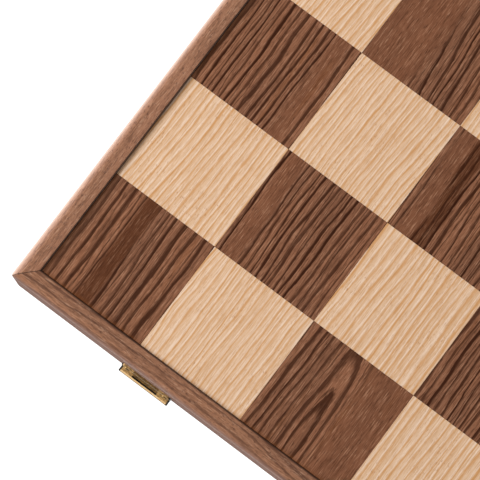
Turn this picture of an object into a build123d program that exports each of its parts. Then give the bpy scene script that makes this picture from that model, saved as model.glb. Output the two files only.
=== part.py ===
from build123d import *
import os

# A folding chess box, opened flat with its playing side up, the men stored in its two trays.
# Millimetres. X runs along the front edge, Y from the front edge to the rear edge, Z is up.
# The origin is at the middle of the board, on the table. The seam lies along X at y = 0.
# Everything is built for the front tray; the rear tray is the same thing turned half a turn.

# Playing field
SQUARE = 45.4
FILES = 8
FIELD = SQUARE * FILES
HAIRLINE = 0.06
VENEER = 0.8
PANEL = 4.0

# Rails
RAIL = 8.0
RAIL_HEIGHT = 34.0
LIP = 1.2
GROOVE_DEPTH = 3.5
ROUND_OVER = 3.0
EASED_EDGE = 0.5
CORNER_RADIUS = 1.2
BOARD = FIELD + 2 * RAIL

# Hinges
KNUCKLE_RADIUS = 1.5
HINGE_PIN_RADIUS = 0.8
RUNNING_CLEARANCE = 0.05
BODY_GAP = 0.3
HINGE_X = 112.0
LEAF_LENGTH = 40.0
LEAF_WIDTH = 7.0
LEAF_THICKNESS = 1.0
KNUCKLES = 5

# Heights
AXIS_Z = KNUCKLE_RADIUS
RIM_Z = AXIS_Z + BODY_GAP / 2
TOP_Z = RIM_Z + RAIL_HEIGHT
FIELD_Z = TOP_Z - LIP
PANEL_TOP = FIELD_Z - VENEER
PANEL_BOTTOM = PANEL_TOP - PANEL
SEAM_Y = -BODY_GAP / 2

# Screws and nails
SCREW_HEAD_RADIUS = 1.7
SCREW_RADIUS = 0.9
SCREW_LENGTH = 9.0
SCREW_POINT = 2.0
SCREW_SLOT = 0.5
SCREW_X = 13.0
SCREW_SETBACK = 4.3
NAIL_HEAD_RADIUS = 1.3
NAIL_HEAD_HEIGHT = 0.6
NAIL_RADIUS = 0.6
NAIL_LENGTH = 6.0
NAIL_X = 8.8

# Latches. A keeper is a plate with a bar standing off it, and a blind slot behind the bar.
LATCH_X = 127.5
LATCH_WIDTH = 22.5
LATCH_HEIGHT = 12.0
LATCH_SHEET = 0.8
LATCH_CORNER = 1.5
KEEPER_FOOT = 1.8
SLOT_LENGTH = 11.5
SLOT_WALL = 0.8
SLOT_WIDTH = 0.6
SLOT_FLOOR = 0.5
BAR_DEPTH = 0.8
BAR_HEIGHT = 2.6
BAR_TOP = RIM_Z + 7.4
KEEPER_PROJECTION = LATCH_SHEET + SLOT_WALL + SLOT_WIDTH + BAR_DEPTH
KEEPER_NAIL_Z = BAR_TOP + 3.2
LATCH_PIN_RADIUS = 0.7
LATCH_AXIS_Z = RIM_Z + 8.0
BASE_FOOT = 2.5
BASE_NAIL_Z = LATCH_AXIS_Z + 6.0
FLAP_KNUCKLE = 9.6
FLAP_WIDTH = 12.0
FLAP_LIP_WIDTH = 9.0
FLAP_LIP_REACH = 2.0
FLAP_OFFSET = KNUCKLE_RADIUS - LATCH_SHEET
LATCH_AXIS_OUT = KEEPER_PROJECTION + BODY_GAP - FLAP_OFFSET
FLAP_LENGTH = (LATCH_AXIS_Z - AXIS_Z) + (BAR_TOP - AXIS_Z) + BODY_GAP

# Chessmen: radius of the foot, height above its felt. They lie on their sides in the cushions.
KING = (12.5, 78.0)
QUEEN = (12.0, 70.0)
BISHOP = (11.0, 60.0)
KNIGHT = (11.0, 50.0)
ROOK = (11.0, 45.0)
PAWN = (9.5, 40.0)
FELT = 0.8
FELT_MARGIN = 0.6
COLLAR_THICKNESS = 2.0
RING_THICKNESS = 1.6
RING_RISE = 2.5
MITRE_CUT = 0.9
CORONET_POINTS = 8

# The same parts' radii as shares of the foot's radius
SLIM_NECK = 0.30
STOUT_NECK = 0.50
KNIGHT_NECK = 0.62
COLLAR = 0.66
UPPER_RING = 0.48

# Cushions
CUSHION_FACE = RIM_Z + 5.0
MEN_FACE = RIM_Z + 1.3
POCKET_CLEARANCE = 0.2
CUSHION_WALL = 4.0
CUSHION_EASE = 1.5


def block(x_low, x_high, y_low, y_high, z_low, z_high):
    """A box between the given limits."""
    middle = Pos((x_low + x_high) / 2, (y_low + y_high) / 2, (z_low + z_high) / 2)
    return middle * Box(x_high - x_low, y_high - y_low, z_high - z_low)


def bar_along_x(radius, length, y, z):
    """A round bar along X, its middle at x = 0."""
    return Pos(0, y, z) * Rot(0, 90, 0) * Cylinder(radius, length)


def in_place(shape):
    """The piece on the front tray, as drawn."""
    return shape


def turned(shape):
    """The same piece on the rear tray."""
    return Rot(0, 0, 180) * shape


# ---------------------------------------------------------------- rails and panel


def rail_section(plane):
    """A rail's cross-section: outer face at local x = 0, rim at local y = 0."""
    section = Pos(RAIL / 2, RAIL_HEIGHT / 2) * Rectangle(RAIL, RAIL_HEIGHT)
    corners = section.vertices()
    outer_top = corners.sort_by(Axis.Y)[-2:].sort_by(Axis.X)[0]
    section = fillet(outer_top, ROUND_OVER)
    others = [v for v in section.vertices() if v.X > RAIL - EASED_EDGE or v.Y < EASED_EDGE]
    section = fillet(others, EASED_EDGE)
    groove_middle = (PANEL_TOP + PANEL_BOTTOM) / 2 - RIM_Z
    section -= Pos(RAIL - GROOVE_DEPTH / 2, groove_middle) * Rectangle(GROOVE_DEPTH, PANEL)
    return plane * section


def board_outline():
    """The whole board's outline, with its small corner radius, taller than the rails."""
    return extrude(RectangleRounded(BOARD, BOARD, CORNER_RADIUS), TOP_Z + ROUND_OVER)


def mitre_wedge():
    """The space on the front rail's side of both mitres."""
    half = BOARD / 2
    back = half - 2 * RAIL
    corners = [(-half, -half), (half, -half), (back, -back), (-back, -back)]
    return extrude(make_face(Polyline(corners, close=True)), TOP_Z + ROUND_OVER)


def front_rail():
    """The rail along the front edge, mitred at both ends."""
    plane = Plane(origin=(-BOARD / 2, -BOARD / 2, RIM_Z), x_dir=(0, 1, 0), z_dir=(1, 0, 0))
    rail = extrude(rail_section(plane), BOARD)
    return rail & mitre_wedge() & board_outline()


def left_rail():
    """The rail along the left side, mitred at the front and square at the seam."""
    plane = Plane(origin=(-BOARD / 2, SEAM_Y, RIM_Z), x_dir=(1, 0, 0), z_dir=(0, -1, 0))
    rail = extrude(rail_section(plane), BOARD / 2 + SEAM_Y)
    return (rail - mitre_wedge()) & board_outline()


def right_rail():
    return mirror(left_rail(), Plane.YZ)


def hinge_rail():
    """The rail under the panel at the seam, mortised for the hinges."""
    rail = block(-FIELD / 2, FIELD / 2, SEAM_Y - RAIL, SEAM_Y, RIM_Z, PANEL_BOTTOM)
    swing = KNUCKLE_RADIUS + BODY_GAP
    for x in (-HINGE_X, HINGE_X):
        mortise = block(-LEAF_LENGTH / 2, LEAF_LENGTH / 2, SEAM_Y - LEAF_WIDTH, SEAM_Y,
                        RIM_Z, RIM_Z + LEAF_THICKNESS)
        channel = bar_along_x(swing, LEAF_LENGTH + 2 * BODY_GAP, 0, AXIS_Z)
        rail -= Pos(x, 0, 0) * (mortise + channel)
    for x in screw_places():
        rail -= Pos(x, SEAM_Y - SCREW_SETBACK, RIM_Z) * screw_shape()
    return rail


def panel():
    """The thin board in the rails' grooves that carries the squares."""
    edge = FIELD / 2 + GROOVE_DEPTH
    return block(-edge, edge, -edge, SEAM_Y, PANEL_BOTTOM, PANEL_TOP)


def squares(colour):
    """The front tray's veneer squares of one colour. Colour 0 has the front left corner."""
    pieces = []
    gap = HAIRLINE / 2
    for rank in range(FILES // 2):
        for file in range(FILES):
            if (rank + file) % 2 != colour:
                continue
            x = file * SQUARE - FIELD / 2
            y = rank * SQUARE - FIELD / 2
            y_high = min(y + SQUARE - gap, SEAM_Y)
            pieces.append(block(x + gap, x + SQUARE - gap, y + gap, y_high, PANEL_TOP, FIELD_Z))
    return Compound(children=pieces)


# ---------------------------------------------------------------- hinges


def screw_places():
    return [hinge + side for hinge in (-HINGE_X, HINGE_X) for side in (-SCREW_X, SCREW_X)]


def screw_shape():
    """A countersunk screw without its slot, head downwards at z = 0."""
    head_height = LEAF_THICKNESS
    shank = SCREW_LENGTH - head_height - SCREW_POINT
    head = Pos(0, 0, head_height / 2) * Cone(SCREW_HEAD_RADIUS, SCREW_RADIUS, head_height)
    body = Pos(0, 0, head_height + shank / 2) * Cylinder(SCREW_RADIUS, shank)
    point = Pos(0, 0, SCREW_LENGTH - SCREW_POINT / 2) * Cone(SCREW_RADIUS, 0, SCREW_POINT)
    return head + body + point


def hinge_screws():
    """The four screws that hold one tray's leaves."""
    slot = block(-SCREW_HEAD_RADIUS, SCREW_HEAD_RADIUS, -SCREW_SLOT / 2, SCREW_SLOT / 2,
                 0, SCREW_SLOT)
    screw = screw_shape() - slot
    return Compound(children=[Pos(x, SEAM_Y - SCREW_SETBACK, RIM_Z) * screw
                              for x in screw_places()])


def hinge_leaf(own_knuckles, bore):
    """One leaf at x = 0 on the front tray, with the knuckles it owns."""
    leaf = block(-LEAF_LENGTH / 2, LEAF_LENGTH / 2, SEAM_Y - LEAF_WIDTH, -HINGE_PIN_RADIUS,
                 RIM_Z, RIM_Z + LEAF_THICKNESS)
    pitch = LEAF_LENGTH / KNUCKLES
    for number in range(KNUCKLES):
        x = (number + 0.5) * pitch - LEAF_LENGTH / 2
        if number in own_knuckles:
            leaf += Pos(x, 0, 0) * bar_along_x(KNUCKLE_RADIUS, pitch - BODY_GAP, 0, AXIS_Z)
        else:
            clearance = bar_along_x(KNUCKLE_RADIUS + BODY_GAP, pitch + BODY_GAP, 0, AXIS_Z)
            leaf -= Pos(x, 0, 0) * clearance
    return leaf - bar_along_x(bore, LEAF_LENGTH, 0, AXIS_Z)


def hinge_leaves(own_knuckles, bore):
    """Both leaves of one tray, drilled for the screws."""
    leaves = []
    for x in (-HINGE_X, HINGE_X):
        leaf = Pos(x, 0, 0) * hinge_leaf(own_knuckles, bore)
        for screw_x in (x - SCREW_X, x + SCREW_X):
            leaf -= Pos(screw_x, SEAM_Y - SCREW_SETBACK, RIM_Z) * screw_shape()
        leaves.append(leaf)
    return Compound(children=leaves)


def hinge_pins():
    pin = chamfer(bar_along_x(HINGE_PIN_RADIUS, LEAF_LENGTH, 0, AXIS_Z).edges(),
                  HINGE_PIN_RADIUS / 4)
    return Compound(children=[Pos(x, 0, 0) * pin for x in (-HINGE_X, HINGE_X)])


# ---------------------------------------------------------------- latches


def latch_plate(foot_z):
    """The sheet that lies on the wood, at x = 0, its lower edge at foot_z."""
    plate = RectangleRounded(LATCH_WIDTH, LATCH_HEIGHT, LATCH_CORNER)
    middle = (0, -BOARD / 2, foot_z + LATCH_HEIGHT / 2)
    return extrude(Plane(origin=middle, x_dir=(1, 0, 0), z_dir=(0, -1, 0)) * plate, LATCH_SHEET)


def nail_shape():
    """A domed nail along -Y: the underside of its head at y = 0, its point inwards."""
    shank = Pos(0, NAIL_LENGTH / 2, 0) * Rot(90, 0, 0) * Cylinder(NAIL_RADIUS, NAIL_LENGTH)
    head = Pos(0, -NAIL_HEAD_HEIGHT / 2, 0) * Rot(90, 0, 0) * Cylinder(NAIL_HEAD_RADIUS,
                                                                      NAIL_HEAD_HEIGHT)
    return shank + fillet(head.edges().sort_by(Axis.Y)[0], NAIL_HEAD_HEIGHT / 2)


def nail_places(z):
    """Where the nails of both latches go, on the outer face of the latch plate."""
    y = -BOARD / 2 - LATCH_SHEET
    return [Pos(latch + side, y, z) for latch in (-LATCH_X, LATCH_X) for side in (-NAIL_X, NAIL_X)]


def nails(z):
    return Compound(children=[place * nail_shape() for place in nail_places(z)])


def nailed(shape, z):
    """The piece with the nails' holes in it."""
    for place in nail_places(z):
        shape -= place * nail_shape()
    return shape


def latch_keeper(x):
    """The fixed half of a latch: a plate with a bar standing off it, a slot behind the bar."""
    plate_y = -BOARD / 2 - LATCH_SHEET
    front_y = -BOARD / 2 - KEEPER_PROJECTION
    bar_low = BAR_TOP - BAR_HEIGHT
    bar = block(-LATCH_WIDTH / 2, LATCH_WIDTH / 2, front_y, plate_y, bar_low, BAR_TOP)
    front_edges = bar.edges().group_by(Axis.Y)[0]
    bar = fillet(front_edges, BAR_DEPTH / 4)
    slot = block(-SLOT_LENGTH / 2, SLOT_LENGTH / 2, front_y + BAR_DEPTH, plate_y - SLOT_WALL,
                 bar_low + SLOT_FLOOR, BAR_TOP)
    keeper = latch_plate(bar_low - KEEPER_FOOT) + bar - slot
    return nailed(Pos(x, 0, 0) * keeper, KEEPER_NAIL_Z)


def latch_base(x):
    """The fixed plate of a flap's hinge, with a knuckle at each end."""
    axis_y = -BOARD / 2 - LATCH_AXIS_OUT
    low_z = LATCH_AXIS_Z - KNUCKLE_RADIUS
    base = latch_plate(LATCH_AXIS_Z - BASE_FOOT)
    inner = FLAP_KNUCKLE / 2 + BODY_GAP
    length = LATCH_WIDTH / 2 - inner
    curl = bar_along_x(KNUCKLE_RADIUS, length, axis_y, LATCH_AXIS_Z)
    curl += block(-length / 2, length / 2, axis_y, -BOARD / 2 - LATCH_SHEET / 2,
                  low_z, low_z + LATCH_SHEET)
    for side in (-1, 1):
        base += Pos(side * (inner + length / 2), 0, 0) * curl
    base -= bar_along_x(LATCH_PIN_RADIUS, LATCH_WIDTH, axis_y, LATCH_AXIS_Z)
    return nailed(Pos(x, 0, 0) * base, BASE_NAIL_Z)


def latch_pins():
    axis_y = -BOARD / 2 - LATCH_AXIS_OUT
    pin = chamfer(bar_along_x(LATCH_PIN_RADIUS, LATCH_WIDTH, axis_y, LATCH_AXIS_Z).edges(),
                  LATCH_PIN_RADIUS / 4)
    return Compound(children=[Pos(x, 0, 0) * pin for x in (-LATCH_X, LATCH_X)])


def latch_flap(x):
    """The hinged flap, folded back against the tray, its lip turned outwards."""
    axis_y = -BOARD / 2 - LATCH_AXIS_OUT
    sheet_y = axis_y + FLAP_OFFSET
    top_z = LATCH_AXIS_Z + FLAP_LENGTH
    shoulder_z = LATCH_AXIS_Z + KNUCKLE_RADIUS + BODY_GAP
    knuckle = bar_along_x(KNUCKLE_RADIUS, FLAP_KNUCKLE, axis_y, LATCH_AXIS_Z)
    neck = block(-FLAP_KNUCKLE / 2, FLAP_KNUCKLE / 2, sheet_y, sheet_y + LATCH_SHEET,
                 LATCH_AXIS_Z, shoulder_z + LATCH_SHEET)
    sheet_plane = Plane(origin=(0, sheet_y + LATCH_SHEET, (shoulder_z + top_z) / 2),
                        x_dir=(1, 0, 0), z_dir=(0, -1, 0))
    outline = RectangleRounded(FLAP_WIDTH, top_z - shoulder_z, LATCH_CORNER)
    sheet = extrude(sheet_plane * outline, LATCH_SHEET)
    lip = block(-FLAP_LIP_WIDTH / 2, FLAP_LIP_WIDTH / 2, sheet_y - FLAP_LIP_REACH,
                sheet_y + LATCH_SHEET, top_z, top_z + LATCH_SHEET)
    bore = bar_along_x(LATCH_PIN_RADIUS + RUNNING_CLEARANCE, LATCH_WIDTH, axis_y, LATCH_AXIS_Z)
    return Pos(x, 0, 0) * (knuckle + neck + sheet + lip - bore)


# ---------------------------------------------------------------- chessmen, standing on z = 0


def pedestal(radius, height, neck_radius):
    """A turned foot that sweeps in to a neck."""
    rim = height * 0.14
    waist = (radius * 0.72, height * 0.30)
    outline = Polyline((0, 0), (radius, 0), (radius, rim))
    outline += Spline((radius, rim), waist, (neck_radius, height), tangents=((-1, 0.5), (0, 1)))
    outline += Polyline((neck_radius, height), (0, height), (0, 0))
    return revolve(Plane.XZ * make_face(outline), Axis.Z)


def collar(radius, thickness, z):
    """A round-edged ring round the neck."""
    ring = Pos(0, 0, z) * Cylinder(radius, thickness)
    return fillet(ring.edges(), thickness * 0.45)


def stem(radius, shoulder, neck_share=SLIM_NECK, rings=1):
    """The foot, the neck and the collars that a man's head stands on."""
    shape = pedestal(radius, shoulder, radius * neck_share)
    shape += collar(radius * COLLAR, COLLAR_THICKNESS, shoulder)
    if rings == 2:
        shape += collar(radius * UPPER_RING, RING_THICKNESS, shoulder + RING_RISE)
    return shape


def pawn():
    radius, height = PAWN
    head = radius * 0.58
    shoulder = height - 1.8 * head
    return stem(radius, shoulder) + Pos(0, 0, height - head) * Sphere(head)


def rook():
    radius, height = ROOK
    tower = height * 0.24
    shoulder = height - tower
    wall = radius * 0.68
    well = wall * 0.62
    crenel_width = radius * 0.22
    head = Pos(0, 0, shoulder + tower / 2) * Cone(wall * 0.82, wall, tower)
    head -= Pos(0, 0, height - tower / 4) * Cylinder(well, tower / 2)
    for turn in (0, 60, 120):
        crenel = Pos(0, 0, height - tower / 6) * Box(2 * radius, crenel_width, tower / 3)
        head -= Rot(0, 0, turn) * crenel
    return stem(radius, shoulder, STOUT_NECK) + head


def bishop():
    radius, height = BISHOP
    shoulder = height * 0.62
    ball = radius * 0.15
    top = height - 1.6 * ball
    mitre_height = top - shoulder
    mitre_foot = (radius * 0.26, shoulder)
    widest = (radius * 0.52, shoulder + mitre_height * 0.38)
    outline = Spline(mitre_foot, widest, (0, top), tangents=((1, 0.6), (-0.6, 1)))
    outline += Polyline((0, top), (0, shoulder), mitre_foot)
    mitre = revolve(Plane.XZ * make_face(outline), Axis.Z)
    cut_place = Pos(radius * 0.39, 0, top - mitre_height * 0.34) * Rot(0, -35, 0)
    mitre -= cut_place * Box(radius * 0.68, 2 * radius, MITRE_CUT)
    return stem(radius, shoulder, rings=2) + mitre + Pos(0, 0, height - ball) * Sphere(ball)


def queen():
    radius, height = QUEEN
    shoulder = height * 0.68
    ball = radius * 0.17
    crown = height - 1.8 * ball
    rim = radius * 0.56
    dome = rim * 0.58
    head = Pos(0, 0, (shoulder + crown) / 2) * Cone(radius * 0.32, rim, crown - shoulder)
    head -= Pos(0, 0, crown) * Sphere(rim * 0.72)
    for number in range(CORONET_POINTS):
        notch = Pos(rim, 0, crown) * Sphere(rim * 0.24)
        head -= Rot(0, 0, number * 360 / CORONET_POINTS) * notch
    head += Pos(0, 0, crown - rim * 0.45) * Sphere(dome)
    return stem(radius, shoulder, rings=2) + head + Pos(0, 0, height - ball) * Sphere(ball)


def king():
    radius, height = KING
    cross = height * 0.11
    shoulder = height * 0.66
    crown = height - cross
    cap = height * 0.03
    rim = radius * 0.54
    brim = crown - cap
    arm = cross * 0.3
    head = Pos(0, 0, (shoulder + brim) / 2) * Cone(radius * 0.32, rim, brim - shoulder)
    head += Pos(0, 0, crown - cap / 2) * Cone(rim, radius * 0.14, cap)
    head += Pos(0, 0, height - (cross + cap) / 2) * Box(arm, arm, cross + cap)
    head += Pos(0, 0, height - cross * 0.4) * Box(cross * 0.85, arm, arm)
    return stem(radius, shoulder, rings=2) + head


def knight():
    """A horse's head, cut from a board and rounded at the cheeks."""
    radius, height = KNIGHT

    def at(across, up):
        return (radius * across, height * up)

    shoulder = height * 0.3
    back = Spline(at(-0.62, 0.3), at(-0.78, 0.62), at(-0.12, 0.97))
    face = Polyline(at(-0.12, 0.97), at(0, 1), at(0.16, 0.92), at(0.86, 0.72), at(0.8, 0.63),
                    at(0.5, 0.62))
    chest = Spline(at(0.5, 0.62), at(0.12, 0.58), at(0.62, 0.44), at(0.62, 0.3))
    outline = back + face + chest + Line(at(0.62, 0.3), at(-0.62, 0.3))
    head = extrude(Plane.XZ * make_face(outline), radius * 0.36, both=True)
    cheeks = scale(Sphere(1), (radius * 1.15, radius * 0.42, height * 0.52))
    head &= Pos(0, 0, height * 0.62) * Rot(0, 25, 0) * cheeks
    return stem(radius, shoulder, KNIGHT_NECK) + head


# ---------------------------------------------------------------- storage

# The back row from the left, and the eight pawns, as (man, size) pairs.
BACK_ROW = ((rook, ROOK), (knight, KNIGHT), (bishop, BISHOP), (queen, QUEEN),
            (king, KING), (bishop, BISHOP), (knight, KNIGHT), (rook, ROOK))
PAWN_ROW = ((pawn, PAWN),) * FILES
PIECE_ROW_Y = -FIELD / 2
PAWN_ROW_Y = SEAM_Y - RAIL


def cushion_length(tallest):
    return tallest[1] + FELT + 2 * (CUSHION_WALL + POCKET_CLEARANCE)


def file_x(file):
    return (file - (FILES - 1) / 2) * SQUARE


def laid_down(shape, size, file, wall_y, direction):
    """A standing shape laid on its side in its pocket, its head along direction."""
    foot_y = wall_y + direction * (CUSHION_WALL + POCKET_CLEARANCE)
    return Pos(file_x(file), foot_y, MEN_FACE + size[0]) * Rot(-90 * direction, 0, 0) * shape


def pocket(size, file, wall_y, direction):
    """The round-bottomed trough that one man lies in, open at the cushion's face."""
    radius = size[0] + POCKET_CLEARANCE
    length = size[1] + FELT + 2 * POCKET_CLEARANCE
    middle_y = wall_y + direction * (CUSHION_WALL + length / 2)
    middle_z = MEN_FACE + size[0]
    trough = Pos(0, middle_y, middle_z) * Rot(90, 0, 0) * Cylinder(radius, length)
    mouth = block(-radius, radius, middle_y - length / 2, middle_y + length / 2,
                  CUSHION_FACE - CUSHION_EASE, middle_z)
    return Pos(file_x(file), 0, 0) * (trough + mouth)


def cushion(row, tallest, wall_y, direction):
    """The padded block that holds one row, from wall_y towards direction."""
    far_y = wall_y + direction * cushion_length(tallest)
    body = block(-FIELD / 2, FIELD / 2, min(wall_y, far_y), max(wall_y, far_y),
                 CUSHION_FACE, PANEL_BOTTOM)
    face_edges = body.edges().filter_by(Axis.X).sort_by(Axis.Z)[:2]
    body = fillet(face_edges, CUSHION_EASE)
    for file, (_, size) in enumerate(row):
        body -= pocket(size, file, wall_y, direction)
    return body


def stored_men(man, row, wall_y, direction):
    """All the men of one kind in their pockets."""
    standing = Pos(0, 0, FELT) * man()
    return [laid_down(standing, size, file, wall_y, direction)
            for file, (kind, size) in enumerate(row) if kind is man]


def stored_felts(row, wall_y, direction):
    """The felt discs under the feet of one row."""
    felts = []
    for file, (_, size) in enumerate(row):
        disc = Pos(0, 0, FELT / 2) * Cylinder(size[0] - FELT_MARGIN, FELT)
        felts.append(laid_down(disc, size, file, wall_y, direction))
    return felts


# ---------------------------------------------------------------- the whole set


def add_tray(parts, name, place, knuckles, bore):
    """The wooden tray of one half with its squares, hinge leaves and cushions."""
    parts[f"{name}_left_rail"] = place(left_rail())
    parts[f"{name}_right_rail"] = place(right_rail())
    parts[f"{name}_hinge_rail"] = place(hinge_rail())
    parts[f"{name}_panel"] = place(panel())
    parts[f"{name}_walnut_squares"] = place(squares(0))
    parts[f"{name}_oak_squares"] = place(squares(1))
    parts[f"{name}_hinge_leaves"] = place(hinge_leaves(knuckles, bore))
    parts[f"{name}_hinge_screws"] = place(hinge_screws())
    parts[f"{name}_piece_cushion"] = place(cushion(BACK_ROW, KING, PIECE_ROW_Y, 1))
    parts[f"{name}_pawn_cushion"] = place(cushion(PAWN_ROW, PAWN, PAWN_ROW_Y, -1))


def add_men(parts, name, place):
    """One side's sixteen men, a node for each kind."""
    for kind in (king, queen):
        parts[f"{name}_{kind.__name__}"] = place(stored_men(kind, BACK_ROW, PIECE_ROW_Y, 1)[0])
    for kind in (bishop, knight, rook):
        men = stored_men(kind, BACK_ROW, PIECE_ROW_Y, 1)
        parts[f"{name}_{kind.__name__}s"] = place(Compound(children=men))
    pawns = stored_men(pawn, PAWN_ROW, PAWN_ROW_Y, -1)
    parts[f"{name}_pawns"] = place(Compound(children=pawns))
    felts = stored_felts(BACK_ROW, PIECE_ROW_Y, 1) + stored_felts(PAWN_ROW, PAWN_ROW_Y, -1)
    parts[f"{name}_felts"] = place(Compound(children=felts))


def build():
    parts = {}
    loose_bore = HINGE_PIN_RADIUS + RUNNING_CLEARANCE
    add_tray(parts, "front", in_place, (0, 2, 4), HINGE_PIN_RADIUS)
    add_tray(parts, "rear", turned, (1, 3), loose_bore)
    parts["front_rail"] = nailed(front_rail(), KEEPER_NAIL_Z)
    parts["rear_rail"] = turned(nailed(front_rail(), BASE_NAIL_Z))
    parts["hinge_pins"] = hinge_pins()
    parts["latch_keeper_left"] = latch_keeper(-LATCH_X)
    parts["latch_keeper_right"] = latch_keeper(LATCH_X)
    parts["latch_keeper_nails"] = nails(KEEPER_NAIL_Z)
    parts["latch_base_left"] = turned(latch_base(LATCH_X))
    parts["latch_base_right"] = turned(latch_base(-LATCH_X))
    parts["latch_base_nails"] = turned(nails(BASE_NAIL_Z))
    parts["latch_pins"] = turned(latch_pins())
    parts["latch_flap_left"] = turned(latch_flap(LATCH_X))
    parts["latch_flap_right"] = turned(latch_flap(-LATCH_X))
    add_men(parts, "white", in_place)
    add_men(parts, "black", turned)
    return parts


os.makedirs("parts", exist_ok=True)
for node, shape in build().items():
    export_step(shape, f"parts/{node}.step")
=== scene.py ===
"""Looks for the folding chess set: veneered playing side, walnut rails, antique brass, padded trays."""

import math
from collections import namedtuple

import bmesh
import bpy
from mathutils import Matrix, Vector


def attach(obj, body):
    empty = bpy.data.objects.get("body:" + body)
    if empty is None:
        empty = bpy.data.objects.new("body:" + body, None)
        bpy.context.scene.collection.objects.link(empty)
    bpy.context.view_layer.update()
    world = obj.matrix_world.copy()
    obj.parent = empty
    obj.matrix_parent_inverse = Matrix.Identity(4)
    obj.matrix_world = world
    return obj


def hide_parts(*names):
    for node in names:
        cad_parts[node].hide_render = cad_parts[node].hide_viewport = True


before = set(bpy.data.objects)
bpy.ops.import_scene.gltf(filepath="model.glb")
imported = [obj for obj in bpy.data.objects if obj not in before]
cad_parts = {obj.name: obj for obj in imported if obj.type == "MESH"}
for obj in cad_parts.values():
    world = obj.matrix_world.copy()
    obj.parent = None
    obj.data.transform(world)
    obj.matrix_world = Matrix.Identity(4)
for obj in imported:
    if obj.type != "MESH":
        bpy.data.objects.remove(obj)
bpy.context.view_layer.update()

MM = 0.001

# The board, in millimetres: the same sizes as in part.py
SQUARE = 45.4
FILES = 8
FIELD = SQUARE * FILES
RAIL = 8.0
BOARD = FIELD + 2 * RAIL
FIELD_Z = 34.45
VENEER = 0.8
SEAM_HALF_GAP = 0.15
JOINT_HALF_GAP = 0.03
LATCH_X = 127.5
SLOT_OUT = 1.9

# The top edges of the veneer squares are eased here
VENEER_EASE = 0.05

# Each of the pairs that follow says where a look begins and where it is full, in millimetres.
# The squares' painted shade and painted shadow line along the rails, inwards from the edge of the field
SQUARE_PAINTED_SHADE = (2.0, 0.0)
SQUARE_SHADOW_LINE = (0.4, 0.16)

# A stain, from its middle
STAIN_REACH = (3.9, 2.3)

# The rails: the painted shade outwards from the field, a mitre's line, and by height the side faces in
# painted shade and the rounded edge in painted light
RAIL_PAINTED_SHADE = (4.0, 0.5)
MITRE_LINE = (0.24, 0.10)
SHADED_SIDE_Z = (32.6, 31.6)
ROUND_OVER_LIGHT_Z = (35.6, 34.2)

# The keepers: along the rail from a keeper's middle, across its slot, and out of the rail, where the
# bar's outer edge carries a painted shadow
BLOCK_ALONG = (5.35, 5.95)
END_ALONG = (10.5, 10.7)
SLOT_ALONG = (5.80, 5.70)
SLOT_ACROSS = (0.34, 0.30)
BAR_OUT = (2.15, 2.30)
BAR_EDGE_SHADOW_OUT = (2.76, 2.90)

# A square's figure, in mm from its middle line: the heart the rings bend round, how deep it lies under
# the middle, how fast it sinks along the grain and how far apart the rings are; a calm band with few
# rings and its half width; the middle of a dark stain. These squares' figures are listed one by one.
Figure = namedtuple("Figure", "heart depth slope spacing calm calm_width stain")
HEART_DEPTH = 9.0
HEART_SLOPE = 0.08
NO_STAIN = -99.0
FIGURES = {
    (0, 0): Figure(-62.0, HEART_DEPTH, HEART_SLOPE, 3.9, -4.5, 3.5, -4.5),
    (1, 1): Figure(-60.0, HEART_DEPTH, HEART_SLOPE, 2.7, -17.0, 3.5, NO_STAIN),
    (2, 0): Figure(-2.0, 2.2, 0.13, 3.2, 17.0, 13.0, NO_STAIN),
    (0, 2): Figure(-75.0, HEART_DEPTH, HEART_SLOPE, 2.9, 15.0, 3.0, NO_STAIN),
    (1, 3): Figure(-60.0, 30.0, 0.23, 3.4, -15.0, 15.5, NO_STAIN),
    (2, 2): Figure(-50.0, HEART_DEPTH, HEART_SLOPE, 3.2, -16.0, 4.0, -10.0),
}

# The other squares' figures lie between these limits, scattered over the files and ranks.
HEARTS = (30.0, 80.0)
SPACINGS = (2.7, 3.4)
CALMS = (18.0, -18.0)
CALM_WIDTHS = (3.0, 7.0)
SCATTER_FILE = 12.9
SCATTER_RANK = 78.2
SCATTER_SCALE = 43.7

# The distance between the rails' rings
RAIL_SPACING = 2.4

# Seeds, which keep random patterns apart
RANK_SEED = 10.0
RING_CHANCE_SEED = 9.0
FINE_RING_SEED = 5.0
WARM_SEED = 2.0
RAIL_SEED = 5.0
RAIL_HUE_SEED = 2.0

# The size of the cushions' voxels, in millimetres, and how often they are smoothed
CUSHION_VOXEL = 2.0
CUSHION_SMOOTHING = 4

# Camera, in millimetres. PICTURE_UP is the direction on the board that points up in the picture, in
# degrees from +X.
CAMERA_PLACE = (-79.9, -224.7, 909.3)
CAMERA_TARGET = (-130.3, -128.65, 34.45)
PICTURE_UP = 126.9
LENS = 180.0
SENSOR = 36.0
CLIP_NEAR = 10.0
CLIP_FAR = 100000.0

# The floor lies just under the folded box, which reaches below the open board, and curves up far away.
FLOOR_Z = -33.0
FLOOR_PROFILE = ((8000.0, FLOOR_Z), (9500.0, FLOOR_Z + 300.0), (10000.0, FLOOR_Z + 1200.0))
FLOOR_SIDES = 48
FLOOR_GLOW = 1.3

# Light: the lamp in millimetres and watts, and the strength of the white surroundings
LAMP_PLACE = (-1500.0, -450.0, 850.0)
LAMP_SIZE = 800.0
LAMP_POWER = 33.0
SURROUNDINGS = 0.43


def srgb(red, green, blue):
    """A linear colour from 0-255 display values."""
    def linear(value):
        value /= 255
        return value / 12.92 if value <= 0.04045 else ((value + 0.055) / 1.055) ** 2.4
    return (linear(red), linear(green), linear(blue), 1.0)
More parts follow.
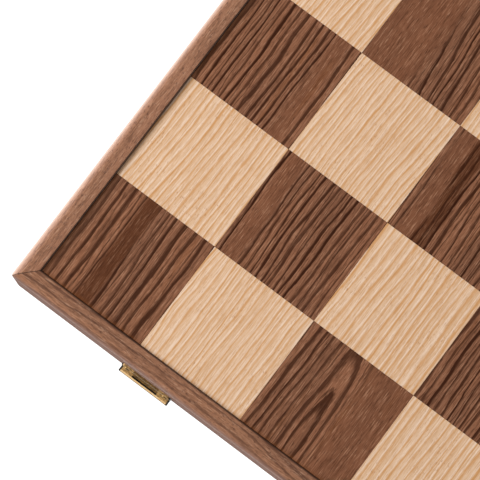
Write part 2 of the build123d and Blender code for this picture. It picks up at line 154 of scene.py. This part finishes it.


# Colours: the dark joints and painted shade, the woods, the keepers' brass with its painted light and the
# sheen of the cloth
BLACK = (0.0, 0.0, 0.0, 1.0)
WHITE = (1.0, 1.0, 1.0, 1.0)
# The dark line of the mitre joints, also painted as a shadow line in the gap where the field meets the
# rails; the two shades are painted shade there, the veneer's warmed as if by light reflected from the
# rail
JOINTS_AND_PAINTED_SHADE = {
    "line": srgb(44, 22, 11),
    "veneer shade": srgb(128, 74, 36),
    "rail shade": srgb(90, 52, 34),
}
WALNUT = {
    "dull": srgb(132, 89, 66),
    "bright": srgb(145, 97, 71),
    "warm": srgb(136, 84, 50),
    "calm": srgb(118, 73, 50),
    "stain": srgb(84, 46, 25),
    "ring": srgb(48, 19, 6),
    "dark fibre": srgb(54, 27, 15),
    "light fibre": srgb(188, 142, 112),
    "pore": srgb(46, 22, 12),
}
OAK = {
    "pale": srgb(226, 190, 157),
    "dull": srgb(219, 181, 146),
    "early wood": srgb(238, 212, 190),
    "ring": srgb(204, 146, 88),
    "dark fibre": srgb(190, 140, 92),
    "light fibre": srgb(244, 219, 197),
    "pore": srgb(172, 114, 62),
}
RAIL_WALNUT = {
    "ring": srgb(74, 42, 27),
    "dark fibre": srgb(88, 54, 37),
    "light fibre": srgb(194, 152, 124),
    "pore": srgb(72, 40, 26),
    # The side faces' colour is painted shade
    "side": srgb(104, 72, 61),
}
# The keepers' brass: the web next to the rail is painted in shade, the bar is painted bright as a
# highlight, the edge is a painted shadow along the bar, and black serves the ends and the slot's painted
# shade
KEEPER = {
    "shaded_web": srgb(138, 102, 52),
    "dark web": srgb(88, 63, 27),
    "block": srgb(198, 158, 100),
    "dark block": srgb(132, 102, 58),
    "bar": srgb(255, 222, 168),
    "dark bar": srgb(236, 186, 122),
    "edge": srgb(60, 44, 16),
    "black": srgb(14, 12, 8),
}
GREEN_SHEEN = srgb(150, 200, 168)


# ---------------------------------------------------------------- node building


# The colour sockets of Blender's Mix node
MIX_FIRST = 6
MIX_SECOND = 7
MIX_RESULT = 2


class Graph:
    """One material's nodes. Most methods return an output socket; places are in millimetres."""

    def __init__(self, name):
        self.material = bpy.data.materials.new(name)
        self.material.use_nodes = True
        self.tree = self.material.node_tree
        self.tree.nodes.clear()
        output = self.tree.nodes.new("ShaderNodeOutputMaterial")
        self.shader = self.tree.nodes.new("ShaderNodeBsdfPrincipled")
        self.tree.links.new(self.shader.outputs[0], output.inputs["Surface"])

    def feed(self, socket, value):
        """Links another node's output to a socket, or sets the socket to a constant."""
        if isinstance(value, bpy.types.NodeSocket):
            self.tree.links.new(value, socket)
        else:
            socket.default_value = value

    def split(self, vector):
        """A vector's x, y and z."""
        node = self.tree.nodes.new("ShaderNodeSeparateXYZ")
        self.tree.links.new(vector, node.inputs[0])
        return node.outputs[0], node.outputs[1], node.outputs[2]

    def place(self):
        """Object coordinates x, y and z in millimetres."""
        coordinates = self.tree.nodes.new("ShaderNodeTexCoord")
        scaled = self.tree.nodes.new("ShaderNodeVectorMath")
        scaled.operation = "SCALE"
        scaled.inputs["Scale"].default_value = 1 / MM
        self.tree.links.new(coordinates.outputs["Object"], scaled.inputs[0])
        return self.split(scaled.outputs[0])

    def math(self, operation, a, b=0.0, clamp=False):
        node = self.tree.nodes.new("ShaderNodeMath")
        node.operation = operation
        node.use_clamp = clamp
        self.feed(node.inputs[0], a)
        self.feed(node.inputs[1], b)
        return node.outputs[0]

    def add(self, a, b):
        return self.math("ADD", a, b)

    def minus(self, a, b):
        return self.math("SUBTRACT", a, b)

    def times(self, a, b):
        return self.math("MULTIPLY", a, b)

    def absolute(self, a):
        return self.math("ABSOLUTE", a)

    def larger(self, a, b):
        return self.math("MAXIMUM", a, b)

    def spread(self, share, low, high):
        """low where the share is 0 and high where it is 1."""
        return self.add(low, self.times(share, high - low))

    def between(self, value, low, high):
        """0 at low and before it, 1 at high and past it, smooth between them."""
        node = self.tree.nodes.new("ShaderNodeMapRange")
        node.interpolation_type = "SMOOTHSTEP"
        self.feed(node.inputs["Value"], value)
        self.feed(node.inputs["From Min"], low)
        self.feed(node.inputs["From Max"], high)
        return node.outputs["Result"]

    def vector(self, x, y, z):
        node = self.tree.nodes.new("ShaderNodeCombineXYZ")
        for socket, value in zip(node.inputs, (x, y, z)):
            self.feed(socket, value)
        return node.outputs[0]

    def noise(self, place, per_mm, detail=2.0, roughness=0.5):
        """Noise from 0 to 1 at a place of three numbers; per_mm scales the first ones of them."""
        scaled = [self.times(value, scale) for value, scale in zip(place, per_mm)]
        node = self.tree.nodes.new("ShaderNodeTexNoise")
        node.inputs["Scale"].default_value = 1.0
        node.inputs["Detail"].default_value = detail
        node.inputs["Roughness"].default_value = roughness
        self.feed(node.inputs["Vector"], self.vector(*scaled, *place[len(per_mm):]))
        return node.outputs["Fac"]

    def swing(self, place, per_mm, reach, detail=2.0):
        """Noise between about -reach and reach."""
        centred = self.minus(self.noise(place, per_mm, detail), 0.5)
        return self.times(centred, 2 * reach)

    def chance(self, vector):
        """Three steady random numbers for a vector."""
        node = self.tree.nodes.new("ShaderNodeTexWhiteNoise")
        self.feed(node.inputs["Vector"], vector)
        split = self.tree.nodes.new("ShaderNodeSeparateColor")
        self.tree.links.new(node.outputs["Color"], split.inputs[0])
        return split.outputs[0], split.outputs[1], split.outputs[2]

    def mix(self, share, first, second):
        node = self.tree.nodes.new("ShaderNodeMix")
        node.data_type = "RGBA"
        self.feed(node.inputs["Factor"], share)
        self.feed(node.inputs[MIX_FIRST], first)
        self.feed(node.inputs[MIX_SECOND], second)
        return node.outputs[MIX_RESULT]

    def tint(self, colour, mask, other, strength):
        """A colour that turns towards another one, by the strength where the mask is 1."""
        return self.mix(self.times(mask, strength), colour, other)

    def bump(self, height, distance):
        """A bump from a height of 0 to 1 that stands for the distance in millimetres."""
        node = self.tree.nodes.new("ShaderNodeBump")
        node.inputs["Distance"].default_value = distance * MM
        self.feed(node.inputs["Height"], height)
        self.tree.links.new(node.outputs[0], self.shader.inputs["Normal"])

    def set(self, **values):
        """Feeds shader inputs, named with underscores for spaces, and returns the material."""
        for name, value in values.items():
            self.feed(self.shader.inputs[name.replace("_", " ")], value)
        return self.material


# ---------------------------------------------------------------- wood


def growth_rings(g, across, along, heart, below, spacing, seed):
    """Rings round a heart line, as (saw from 0 to 1 across each ring, the ring's random numbers)."""
    aside = g.minus(across, heart)
    radius = g.math("SQRT", g.add(g.times(aside, aside), g.times(below, below)))
    here = (across, along, seed)
    drift = g.swing(here, per_mm=(0.05, 0.016), reach=3.2)
    ripple = g.swing(here, per_mm=(0.30, 0.05), reach=0.65)
    ragged = g.swing(here, per_mm=(1.3, 0.22), reach=0.24)
    place = g.add(g.add(radius, drift), g.add(ripple, ragged))
    crowding = g.swing((place, 0.0, seed), per_mm=(0.12,), reach=0.6, detail=1.0)
    turn = g.add(g.math("DIVIDE", place, spacing), crowding)
    ring_number = g.math("FLOOR", turn)
    return g.math("FRACT", turn), g.chance(g.vector(ring_number, seed, RING_CHANCE_SEED))


def ring_line(g, saw, start, rise, fall):
    """The dark line of a ring: it grows over the rise, is full until the fall, and gone at the end."""
    return g.times(g.between(saw, start, g.add(start, rise)), g.between(saw, 1.0, fall))


def fibres(g, across, along, seed, fineness):
    """Fibres along the grain, from 0 to 1, with their middle near a half."""
    here = (across, along, seed)
    coarse = g.noise(here, per_mm=(1.6 * fineness, 0.10), detail=3.0, roughness=0.65)
    fine = g.noise(here, per_mm=(4.0 * fineness, 0.32), detail=3.0, roughness=0.6)
    return g.add(g.times(coarse, 0.6), g.times(fine, 0.4))


def pores(g, across, along, seed, fineness):
    """Short dark dashes along the grain, 1 inside a pore."""
    dashes = g.noise((across, along, seed), per_mm=(2.6 * fineness, 0.36 * fineness))
    return g.between(dashes, 0.60, 0.70)


def outside_field(g, x, y):
    """How far a place lies outside the field of squares, in millimetres; negative inside it."""
    return g.minus(g.larger(g.absolute(x), g.absolute(y)), FIELD / 2)


def paint_crevice_shade(g, colour, x, y):
    """A veneer's colour with painted shade at the rails: a warm band as if lit by the rails, and a dark
    shadow line in the gap.
    """
    inset = g.times(outside_field(g, x, y), -1.0)
    # Painted shade: a warm brown band, then a dark painted shadow line along the rails
    colour = g.tint(colour, g.between(inset, *SQUARE_PAINTED_SHADE), JOINTS_AND_PAINTED_SHADE["veneer shade"], strength=0.35)
    return g.tint(colour, g.between(inset, *SQUARE_SHADOW_LINE), JOINTS_AND_PAINTED_SHADE["line"], strength=0.85)


def written(g, name):
    """The three numbers that add_square wrote on the mesh under a name."""
    node = g.tree.nodes.new("ShaderNodeAttribute")
    node.attribute_name = name
    return g.split(node.outputs["Vector"])


def square_rings(g, y):
    """What the squares' figures give: the heart, how deep it lies here, and the spacing."""
    heart, spacing, depth = written(g, "rings")
    slope, _, _ = written(g, "slope")
    return heart, g.add(depth, g.times(slope, y)), spacing


def square_seed(g, x, y):
    """A number that differs from square to square."""
    file = g.math("FLOOR", g.times(g.add(x, FIELD / 2), 1 / SQUARE))
    rank = g.math("FLOOR", g.times(g.add(y, FIELD / 2), 1 / SQUARE))
    return g.add(file, g.times(rank, RANK_SEED))


def walnut_veneer():
    """Dark rings with hair lines between them, a calm band, perhaps a stain, and open pores."""
    g = Graph("walnut_veneer")
    x, y, _ = g.place()
    heart, below, spacing = square_rings(g, y)
    calm_x, calm_width, stain_x = written(g, "bands")
    seed = square_seed(g, x, y)

    saw, (depth, width, _) = growth_rings(g, x, y, heart, below, spacing, seed)
    line = ring_line(g, saw, start=g.spread(width, 0.42, 0.60), rise=0.28, fall=0.93)
    line = g.times(line, g.spread(depth, 0.68, 0.96))
    fine_spacing = g.times(spacing, 0.45)
    fine_seed = g.add(seed, FINE_RING_SEED)
    fine_saw, (fine_depth, _, _) = growth_rings(g, x, y, heart, below, fine_spacing, fine_seed)
    hair = ring_line(g, fine_saw, start=0.58, rise=0.22, fall=0.90)
    line = g.larger(line, g.times(hair, g.times(fine_depth, 0.70)))

    drift = g.add(x, g.swing((0.0, y, seed), per_mm=(1.0, 0.03), reach=3.0))
    calm = g.between(g.absolute(g.minus(drift, calm_x)), calm_width, g.times(calm_width, 0.75))
    stain = g.between(g.absolute(g.minus(drift, stain_x)), *STAIN_REACH)
    line = g.times(line, g.minus(1.0, g.times(calm, 0.90)))

    hue = g.between(g.noise((x, y, seed), per_mm=(0.12, 0.008)), 0.36, 0.62)
    warm = g.between(g.noise((x, y, g.add(seed, WARM_SEED)), per_mm=(0.20, 0.012)), 0.60, 0.72)
    colour = g.mix(hue, WALNUT["dull"], WALNUT["bright"])
    colour = g.tint(colour, warm, WALNUT["warm"], strength=0.55)
    colour = g.tint(colour, calm, WALNUT["calm"], strength=0.55)
    colour = g.tint(colour, stain, WALNUT["stain"], strength=0.75)
    colour = g.mix(line, colour, WALNUT["ring"])

    thread = fibres(g, x, y, seed, fineness=1.3)
    colour = g.tint(colour, g.between(thread, 0.52, 0.36), WALNUT["dark fibre"], strength=0.55)
    off_dark = g.minus(1.0, g.larger(line, g.times(stain, 0.50)))
    light_fibre = g.times(g.between(thread, 0.52, 0.64), off_dark)
    colour = g.tint(colour, light_fibre, WALNUT["light fibre"], strength=0.58)
    pore = pores(g, x, g.times(y, 0.6), seed, fineness=1.3)
    colour = g.tint(colour, pore, WALNUT["pore"], strength=0.60)
    colour = paint_crevice_shade(g, colour, x, y)

    dents = g.add(g.times(pore, 0.7), g.times(line, 0.2))
    g.bump(g.minus(g.times(thread, 0.5), dents), distance=0.05)
    return g.set(Base_Color=colour, Roughness=g.spread(thread, 0.46, 0.60), Specular_IOR_Level=0.04)


def oak_veneer():
    """Honey-coloured rings on pale wood, with patches of fine crinkled pores."""
    g = Graph("oak_veneer")
    x, y, _ = g.place()
    heart, below, spacing = square_rings(g, y)
    seed = square_seed(g, x, y)

    saw, (depth, width, shade) = growth_rings(g, x, y, heart, below, g.times(spacing, 0.85), seed)
    line = ring_line(g, saw, start=g.spread(width, 0.54, 0.66), rise=0.24, fall=0.90)
    line = g.times(line, g.spread(depth, 0.60, 0.90))
    early_wood = g.times(g.between(saw, 0.02, 0.10), g.between(saw, 0.34, 0.16))
    fine_spacing = g.times(spacing, 0.30)
    fine_seed = g.add(seed, FINE_RING_SEED)
    fine_saw, (fine_depth, _, _) = growth_rings(g, x, y, heart, below, fine_spacing, fine_seed)
    hair = ring_line(g, fine_saw, start=0.50, rise=0.30, fall=0.85)
    line = g.larger(line, g.times(hair, g.times(fine_depth, 0.45)))

    colour = g.mix(shade, OAK["pale"], OAK["dull"])
    colour = g.tint(colour, early_wood, OAK["early wood"], strength=0.65)
    colour = g.mix(line, colour, OAK["ring"])

    thread = fibres(g, x, y, seed, fineness=1.4)
    colour = g.tint(colour, g.between(thread, 0.51, 0.36), OAK["dark fibre"], strength=0.60)
    colour = g.tint(colour, g.between(thread, 0.53, 0.66), OAK["light fibre"], strength=0.60)
    patch = g.between(g.noise((x, y, seed), per_mm=(0.10, 0.05)), 0.50, 0.64)
    slanted = g.add(x, g.times(y, 0.12))
    crinkle = g.times(pores(g, slanted, y, seed, fineness=1.5), g.spread(patch, 0.30, 0.80))
    colour = g.mix(crinkle, colour, OAK["pore"])
    colour = paint_crevice_shade(g, colour, x, y)

    g.bump(g.minus(g.times(thread, 0.5), g.times(crinkle, 0.7)), distance=0.04)
    return g.set(Base_Color=colour, Roughness=g.spread(thread, 0.48, 0.60), Specular_IOR_Level=0.08)


def rail_walnut(name, along_x, heart, light, warm, banding, round_over_light, round_over_light_strength, crevice_shadow_line):
    """Solid walnut grained along the rail, dark mitre lines, painted shade at the field and sides,
    painted light on the edge.
    """
    g = Graph(name)
    x, y, z = g.place()
    along, across = (x, y) if along_x else (y, x)

    height = g.add(g.times(across, 0.8), g.times(z, 0.55))
    below = g.add(HEART_DEPTH, g.times(along, HEART_SLOPE))
    saw, (depth, width, _) = growth_rings(g, height, along, heart, below, RAIL_SPACING, RAIL_SEED)
    line = ring_line(g, saw, start=g.spread(width, 0.40, 0.75), rise=0.25, fall=0.88)
    line = g.times(line, g.times(depth, banding))
    hue = g.noise((height, along, RAIL_HUE_SEED), per_mm=(0.2, 0.012), detail=3.0)
    light = g.mix(g.between(hue, 0.36, 0.62), light, warm)
    colour = g.mix(line, light, RAIL_WALNUT["ring"])

    thread = fibres(g, across, g.times(along, 2.0), g.times(z, 1.5), fineness=1.5)
    colour = g.tint(colour, g.between(thread, 0.52, 0.38), RAIL_WALNUT["dark fibre"], strength=0.62)
    colour = g.tint(colour, g.between(thread, 0.53, 0.64), RAIL_WALNUT["light fibre"], strength=0.60)
    pore = pores(g, across, g.times(along, 1.3), g.times(z, 2.6), fineness=1.5)
    colour = g.tint(colour, pore, RAIL_WALNUT["pore"], strength=0.70)

    from_mitre = g.absolute(g.minus(g.absolute(x), g.absolute(y)))
    mitre = g.between(from_mitre, *MITRE_LINE)
    colour = g.tint(colour, mitre, JOINTS_AND_PAINTED_SHADE["line"], strength=0.90)
    # Painted shade: the rail darkens towards the field and gets a dark painted shadow line at its edge
    from_field = outside_field(g, x, y)
    colour = g.tint(colour, g.between(from_field, *RAIL_PAINTED_SHADE), JOINTS_AND_PAINTED_SHADE["rail shade"], strength=0.16)
    colour = g.tint(colour, g.between(from_field, *crevice_shadow_line), JOINTS_AND_PAINTED_SHADE["line"], strength=0.80)

    # Painted shade: the side faces are darker than the top; the same mask makes them rougher
    side = g.between(z, *SHADED_SIDE_Z)
    colour = g.tint(colour, side, RAIL_WALNUT["side"], strength=0.70)
    # Painted light on the rounded edge: a highlight on the rails along y, shade on the rails along x
    round_over = g.times(g.between(z, *ROUND_OVER_LIGHT_Z), g.minus(1.0, side))
    colour = g.tint(colour, round_over, round_over_light, strength=round_over_light_strength)

    dents = g.add(g.times(pore, 0.6), mitre)
    g.bump(g.minus(g.times(thread, 0.5), dents), distance=0.06)
    roughness = g.add(g.times(thread, 0.14), g.spread(side, 0.38, 0.78))
    return g.set(Base_Color=colour, Roughness=roughness, Specular_IOR_Level=0.26)


def plain_wood(name, light, dark, gloss):
    """Straight-grained lacquered wood for panels and chessmen."""
    g = Graph(name)
    here = g.place()
    thread = g.noise(here, per_mm=(1.6, 0.08, 1.6), detail=4.0, roughness=0.6)
    band = g.noise(here, per_mm=(0.35, 0.02, 0.35))
    colour = g.mix(g.between(band, 0.3, 0.7), light, dark)
    colour = g.tint(colour, g.between(thread, 0.5, 0.3), dark, strength=0.4)
    g.bump(thread, distance=0.02)
    return g.set(Base_Color=colour, Roughness=g.spread(thread, gloss, gloss + 0.1),
                 Coat_Weight=0.6, Coat_Roughness=0.12)


# ---------------------------------------------------------------- metal and cloth


def antique_brass(name, light, dark):
    """Rubbed brass with darker patina."""
    g = Graph(name)
    here = g.place()
    cloud = g.noise(here, per_mm=(0.45, 0.45, 0.45), detail=4.0, roughness=0.6)
    brushed = g.noise(here, per_mm=(0.25, 6.0, 6.0))
    patina = g.add(g.between(cloud, 0.42, 0.66), g.times(g.minus(brushed, 0.5), 0.5))
    colour = g.mix(g.math("MULTIPLY", patina, 0.6, clamp=True), light, dark)
    g.bump(brushed, distance=0.015)
    return g.set(Base_Color=colour, Metallic=0.7, Roughness=g.spread(cloud, 0.32, 0.56))


def keeper_brass():
    """The keeper: a front bar with a painted highlight and a painted shadow at its outer edge, a duller
    block, the strip at the rail in painted shade, black ends, and a slot painted black as shade.
    """
    g = Graph("keeper_brass")
    x, y, z = g.place()
    cloud = g.noise((x, y, z), per_mm=(1.0, 1.6, 1.0), detail=4.0, roughness=0.6)
    from_middle = g.absolute(g.minus(g.absolute(x), LATCH_X))
    out = g.minus(g.times(y, -1.0), BOARD / 2)

    # Painted light: the strip next to the rail in shade, the front bar bright as a highlight
    shaded_web = g.mix(g.between(cloud, 0.35, 0.65), KEEPER["shaded_web"], KEEPER["dark web"])
    block = g.mix(g.between(cloud, 0.36, 0.64), KEEPER["block"], KEEPER["dark block"])
    bar = g.mix(g.between(cloud, 0.40, 0.70), KEEPER["bar"], KEEPER["dark bar"])
    colour = g.mix(g.between(from_middle, *BLOCK_ALONG), shaded_web, block)
    colour = g.mix(g.between(out, *BAR_OUT), colour, bar)
    # Painted shadow along the bar's outer edge
    colour = g.tint(colour, g.between(out, *BAR_EDGE_SHADOW_OUT), KEEPER["edge"], strength=0.8)

    # The slot is painted black as shade; the ends are black
    from_slot = g.absolute(g.minus(out, SLOT_OUT))
    slot = g.times(g.between(from_slot, *SLOT_ACROSS), g.between(from_middle, *SLOT_ALONG))
    black = g.larger(g.between(from_middle, *END_ALONG), slot)
    colour = g.tint(colour, black, KEEPER["black"], strength=0.97)
    g.bump(cloud, distance=0.03)
    return g.set(Base_Color=colour, Metallic=0.30, Roughness=g.spread(cloud, 0.38, 0.58))


def cloth(name, light, dark, pile):
    """Velvet or felt: a soft pile with sheen; pile is how many tufts there are in a millimetre."""
    g = Graph(name)
    here = g.place()
    nap = g.noise(here, per_mm=(pile, pile, pile), detail=3.0, roughness=0.7)
    brushed = g.noise(here, per_mm=(0.05, 0.05, 0.05))
    colour = g.tint(light, g.between(brushed, 0.30, 0.70), dark, strength=0.55)
    colour = g.tint(colour, g.between(nap, 0.55, 0.3), dark, strength=0.5)
    g.bump(nap, distance=0.25)
    return g.set(Base_Color=colour, Roughness=0.95, Sheen_Weight=0.7, Sheen_Roughness=0.4,
                 Sheen_Tint=GREEN_SHEEN, Specular_IOR_Level=0.15)


# ---------------------------------------------------------------- pieces


def add_object(name, mesh):
    thing = bpy.data.objects.new(name, mesh)
    bpy.context.scene.collection.objects.link(thing)
    return thing


def finished_mesh(name, bm, material):
    """A mesh from a bmesh in millimetres."""
    mesh = bpy.data.meshes.new(name)
    bm.transform(Matrix.Scale(MM, 4))
    bm.to_mesh(mesh)
    bm.free()
    mesh.materials.append(material)
    return mesh


def figure_of(file, rank):
    """A square's figure: one of those above, or one that follows from its file and rank."""
    if (file, rank) in FIGURES:
        return FIGURES[file, rank]
    turn = math.sin(file * SCATTER_FILE + rank * SCATTER_RANK) * SCATTER_SCALE
    chance = turn - math.floor(turn)

    def scattered(limits):
        first, last = limits
        return first + (last - first) * chance

    return Figure(scattered(HEARTS), HEART_DEPTH, HEART_SLOPE, scattered(SPACINGS),
                  scattered(CALMS), scattered(CALM_WIDTHS), NO_STAIN)


def square_span(number):
    """The two edges of a file or rank, in millimetres from the board's middle."""
    low = number * SQUARE - FIELD / 2
    return low + JOINT_HALF_GAP, low + SQUARE - JOINT_HALF_GAP


def add_square(bm, file, rank):
    """One square of veneer with eased top edges, and its figure written on its corners."""
    x_low, x_high = square_span(file)
    y_low, y_high = square_span(rank)
    if rank == FILES // 2 - 1:
        y_high = -SEAM_HALF_GAP
    if rank == FILES // 2:
        y_low = SEAM_HALF_GAP
    x_middle = (x_low + x_high) / 2
    y_middle = (y_low + y_high) / 2
    figure = figure_of(file, rank)
    layers = bm.verts.layers.float_vector
    levels = []
    for inset, z in ((0, FIELD_Z - VENEER), (0, FIELD_Z - VENEER_EASE), (VENEER_EASE, FIELD_Z)):
        corners = ((x_low + inset, y_low + inset), (x_high - inset, y_low + inset),
                   (x_high - inset, y_high - inset), (x_low + inset, y_high - inset))
        levels.append([bm.verts.new((x, y, z)) for x, y in corners])
        for vert in levels[-1]:
            vert[layers["rings"]] = (x_middle + figure.heart, figure.spacing,
                                     figure.depth - figure.slope * y_middle)
            vert[layers["slope"]] = (figure.slope, 0.0, 0.0)
            vert[layers["bands"]] = (x_middle + figure.calm, figure.calm_width, x_middle + figure.stain)
    bm.faces.new(levels[0][::-1])
    bm.faces.new(levels[2])
    for below, above in zip(levels, levels[1:]):
        for k in range(4):
            bm.faces.new((below[k], below[(k + 1) % 4], above[(k + 1) % 4], above[k]))


def lay_veneers():
    """The squares of each colour on each rank."""
    materials = (walnut_veneer(), oak_veneer())
    for rank in range(FILES):
        half = "front" if rank < FILES // 2 else "rear"
        for colour, wood in enumerate(("walnut", "oak")):
            bm = bmesh.new()
            for layer in ("rings", "slope", "bands"):
                bm.verts.layers.float_vector.new(layer)
            for file in range(FILES):
                if (file + rank) % 2 == colour:
                    add_square(bm, file, rank)
            name = f"rank_{rank + 1}_{wood}"
            piece = add_object(name, finished_mesh(name, bm, materials[colour]))
            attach(piece, f"{half}_tray")
            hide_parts(f"{half}_{wood}_squares")


def apply_modifiers(piece):
    depsgraph = bpy.context.evaluated_depsgraph_get()
    mesh = bpy.data.meshes.new_from_object(piece.evaluated_get(depsgraph))
    piece.modifiers.clear()
    piece.data = mesh


def dress(mesh, material):
    """Gives a mesh its finished material."""
    mesh.materials.clear()
    mesh.materials.append(material)


def soften_cushion(node, body, material):
    """The moulded foam block with softened edges and a slightly uneven velvet face."""
    piece = add_object(f"{node}_velvet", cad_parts[node].data.copy())
    remesh = piece.modifiers.new("voxels", "REMESH")
    remesh.mode = "VOXEL"
    remesh.voxel_size = CUSHION_VOXEL * MM
    smooth = piece.modifiers.new("soften", "SMOOTH")
    smooth.iterations = CUSHION_SMOOTHING
    apply_modifiers(piece)
    dress(piece.data, material)
    piece.data.polygons.foreach_set("use_smooth", [True] * len(piece.data.polygons))
    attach(piece, body)
    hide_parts(node)


def soften_cushions():
    velvet = cloth("green_velvet", srgb(34, 86, 54), srgb(18, 52, 32), pile=2.0)
    for half in ("front", "rear"):
        for row in ("piece", "pawn"):
            soften_cushion(f"{half}_{row}_cushion", f"{half}_tray", velvet)


def make_looks():
    """The materials of the CAD nodes that show as they are."""
    return {
        # The rounded edges get painted shade on the rails along x and a painted highlight on those along
        # y; the last pairs place each rail's painted shadow line at the field
        "rail_x": rail_walnut("rail_walnut_x", along_x=True, heart=-137.0,
                              light=srgb(141, 97, 72), warm=srgb(157, 109, 80), banding=0.70,
                              round_over_light=srgb(112, 80, 70), round_over_light_strength=0.55, crevice_shadow_line=(0.8, 0.24)),
        "rail_y": rail_walnut("rail_walnut_y", along_x=False, heart=-100.0,
                              light=srgb(153, 107, 80), warm=srgb(163, 114, 86), banding=0.20,
                              round_over_light=srgb(204, 180, 166), round_over_light_strength=0.70, crevice_shadow_line=(0.5, 0.15)),
        "plywood": plain_wood("plywood", srgb(205, 170, 128), srgb(176, 138, 96), gloss=0.6),
        "boxwood": plain_wood("boxwood", srgb(226, 186, 128), srgb(202, 156, 98), gloss=0.25),
        "ebonised": plain_wood("ebonised_wood", srgb(52, 34, 28), srgb(24, 15, 12), gloss=0.22),
        "brass": antique_brass("antique_brass", srgb(190, 152, 90), srgb(100, 75, 38)),
        "dark_brass": antique_brass("dark_brass", srgb(150, 118, 66), srgb(70, 52, 28)),
        "keeper": keeper_brass(),
        "felt": cloth("green_felt", srgb(38, 92, 58), srgb(24, 62, 38), pile=1.2),
    }


def look_of(node):
    """The look of a CAD node; None for a node that another piece replaces."""
    if node in ("front_rail", "rear_rail") or node.endswith("hinge_rail"):
        return "rail_x"
    if node.endswith("_rail"):
        return "rail_y"
    if node.endswith("_panel"):
        return "plywood"
    if node.endswith("_felts"):
        return "felt"
    if node.startswith("white_"):
        return "boxwood"
    if node.startswith("black_"):
        return "ebonised"
    if node.endswith(("_pins", "_nails", "_screws")):
        return "dark_brass"
    if node.startswith("latch_keeper_"):
        return "keeper"
    if node.startswith("latch_") or node.endswith("_leaves"):
        return "brass"
    return None


def dress_nodes():
    looks = make_looks()
    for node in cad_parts:
        look = look_of(node)
        if look:
            dress(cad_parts[node].data, looks[look])


# ---------------------------------------------------------------- studio


def make_floor():
    """A glowing white floor without shadows; its far edge curves up, so no side view ends at the edge."""
    bm = bmesh.new()
    angles = [2 * math.pi * k / FLOOR_SIDES for k in range(FLOOR_SIDES)]
    rings = []
    for radius, z in FLOOR_PROFILE:
        rings.append([bm.verts.new((radius * math.cos(a), radius * math.sin(a), z)) for a in angles])
    bm.faces.new(rings[0])
    for inner, outer in zip(rings, rings[1:]):
        for k in range(FLOOR_SIDES):
            after = (k + 1) % FLOOR_SIDES
            bm.faces.new((inner[k], outer[k], outer[after], inner[after]))
    glow = Graph("pale_floor").set(Base_Color=BLACK, Specular_IOR_Level=0.0,
                                   Emission_Color=WHITE, Emission_Strength=FLOOR_GLOW)
    floor = add_object("floor", finished_mesh("floor", bm, glow))


def make_lamp():
    """A square lamp at the front left, turned to the middle of the board."""
    lamp = bpy.data.lights.new("key", "AREA")
    lamp.size = LAMP_SIZE * MM
    lamp.energy = LAMP_POWER
    light = add_object("key", lamp)
    light.location = Vector(LAMP_PLACE) * MM
    light.rotation_euler = (-light.location).to_track_quat("-Z", "Y").to_euler()


def make_surroundings():
    world = bpy.data.worlds.new("studio")
    bpy.context.scene.world = world
    world.use_nodes = True
    background = world.node_tree.nodes["Background"]
    background.inputs["Color"].default_value = WHITE
    background.inputs["Strength"].default_value = SURROUNDINGS


def make_camera():
    place = Vector(CAMERA_PLACE) * MM
    back = (place - Vector(CAMERA_TARGET) * MM).normalized()
    turn = math.radians(PICTURE_UP)
    right = Vector((math.cos(turn), math.sin(turn), 0.0)).cross(back).normalized()
    up = back.cross(right)
    camera = add_object("camera", bpy.data.cameras.new("camera"))
    camera.data.lens = LENS
    camera.data.sensor_width = SENSOR
    camera.data.clip_start = CLIP_NEAR * MM
    camera.data.clip_end = CLIP_FAR * MM
    axes = Matrix((right, up, back)).transposed().to_4x4()
    camera.matrix_world = Matrix.Translation(place) @ axes
    bpy.context.scene.camera = camera
    bpy.context.scene.view_settings.view_transform = "Standard"


lay_veneers()
dress_nodes()
soften_cushions()
make_surroundings()
make_lamp()
make_floor()
make_camera()
